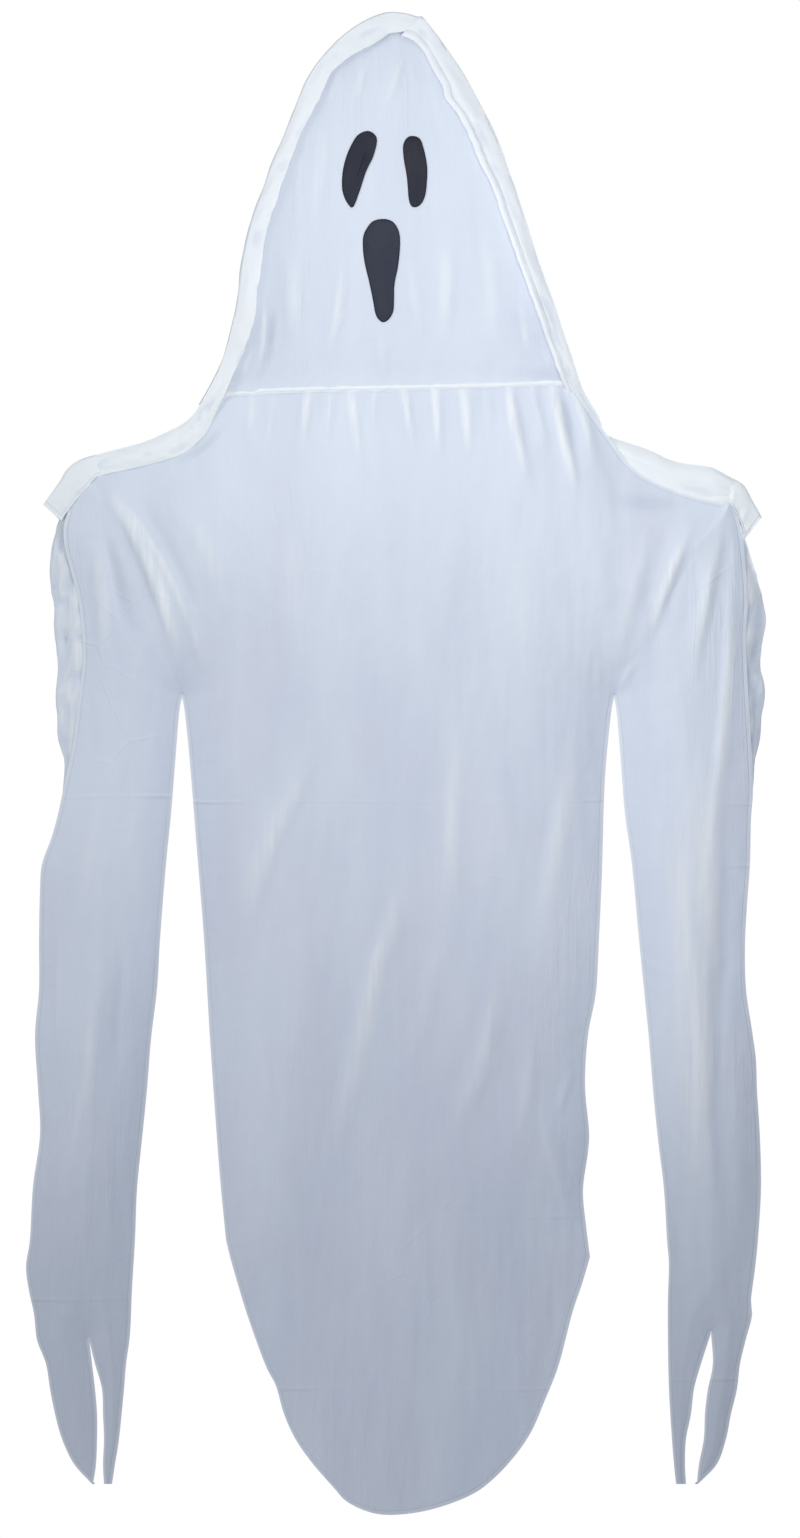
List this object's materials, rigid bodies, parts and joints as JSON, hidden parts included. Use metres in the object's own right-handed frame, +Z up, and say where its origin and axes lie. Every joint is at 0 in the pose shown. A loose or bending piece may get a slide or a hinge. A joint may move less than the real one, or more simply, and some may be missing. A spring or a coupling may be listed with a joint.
{
  "type": "hanging ghost prop",
  "caption": "Hanging cloth ghost with a peaked hood, plain black eyes and mouth, long split-finger sleeves and a rounded robe tail on a rod frame; robe and sleeves swing.",
  "frame": {"origin": "centre of the hang eye behind the crown", "axes": "+Z up, -Y the way the face looks, +X to the right as seen from the front"},
  "size_m": [1.0332, 0.1231, 2.124],
  "materials": {
    "sheer_cloth": "thin semi-sheer woven polyester, crinkled",
    "double_cloth": "same polyester doubled into a bright border",
    "black_patch": "matt black cloth patch",
    "tape": "woven cotton tape",
    "rod": "white glass-fibre rod",
    "connector": "white moulded plastic"
  },
  "bodies": {
    "head": {"crown_connector": "connector", "left_hoop_rod": "rod", "right_hoop_rod": "rod", "left_neck_elbow": "connector", "right_neck_elbow": "connector", "neck_rod": "rod", "hood": "double_cloth", "hood_ties": "tape", "face_panel": "sheer_cloth", "left_eye": "black_patch", "right_eye": "black_patch", "mouth": "black_patch"},
    "torso": {"neck_casing": "sheer_cloth", "neck_clip": "connector", "spine_rod": "rod", "shoulder_hub": "connector", "left_shoulder_bar": "rod", "right_shoulder_bar": "rod", "left_bar_cap": "connector", "right_bar_cap": "connector", "left_cape": "double_cloth", "right_cape": "double_cloth", "robe_front": "sheer_cloth", "robe_back": "sheer_cloth"},
    "left_arm": {"left_sleeve_front": "sheer_cloth", "left_sleeve_back": "sheer_cloth", "left_sleeve_loop": "tape", "left_shoulder_flap": "double_cloth"},
    "right_arm": {"right_sleeve_front": "sheer_cloth", "right_sleeve_back": "sheer_cloth", "right_sleeve_loop": "tape", "right_shoulder_flap": "double_cloth"}
  },
  "joints": [
    {"name": "body_sway", "type": "hinge", "parent": "head", "child": "torso", "pos_m": [0.014, -0.036, -0.506], "axis": [-1, 0, 0], "range_deg": [-18, 18]},
    {"name": "left_arm_swing", "type": "hinge", "parent": "torso", "child": "left_arm", "pos_m": [-0.395, -0.036, -0.628], "axis": [-1, 0, 0], "range_deg": [-30, 45]},
    {"name": "right_arm_swing", "type": "hinge", "parent": "torso", "child": "right_arm", "pos_m": [0.423, -0.036, -0.628], "axis": [-1, 0, 0], "range_deg": [-30, 45]}
  ]
}
